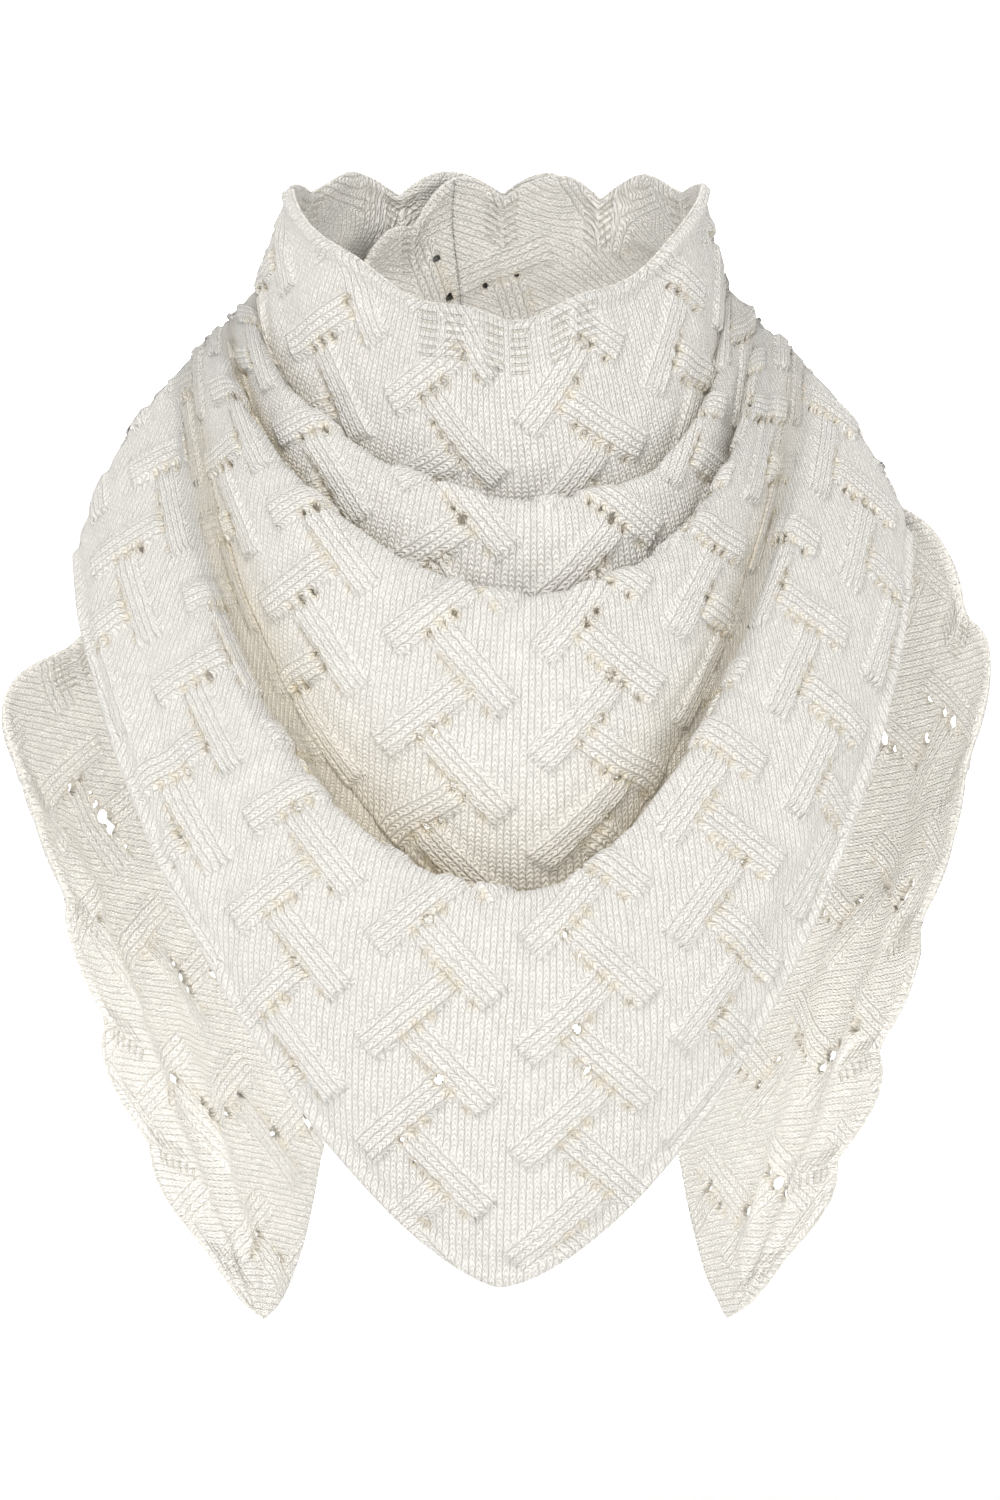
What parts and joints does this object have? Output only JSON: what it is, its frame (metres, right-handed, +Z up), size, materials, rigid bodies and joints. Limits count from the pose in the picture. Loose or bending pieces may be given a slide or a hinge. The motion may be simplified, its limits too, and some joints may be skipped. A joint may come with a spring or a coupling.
{
  "type": "pointelle scarf",
  "caption": "Triangular knitted pointelle scarf in its worn form: open scalloped collar, cowl swags on the chest, pointed bib, and two scalloped ends behind the shoulders.",
  "frame": {"origin": "middle of the neck opening, level with the middle of the collar, where the wearer's neck holds the scarf", "axes": "+Z up, -Y towards the wearer's front (the bib), +X to the right as seen from the front"},
  "size_m": [0.4166, 0.319, 0.4887],
  "materials": {
    "cream_wool": "soft brushed knit, matt, with a light nap"
  },
  "bodies": {
    "root": {"front_collar": "cream_wool", "front_cowl": "cream_wool", "front_bib": "cream_wool", "left_wrap": "cream_wool", "right_end": "cream_wool", "right_wrap": "cream_wool", "left_end": "cream_wool"}
  },
  "joints": []
}
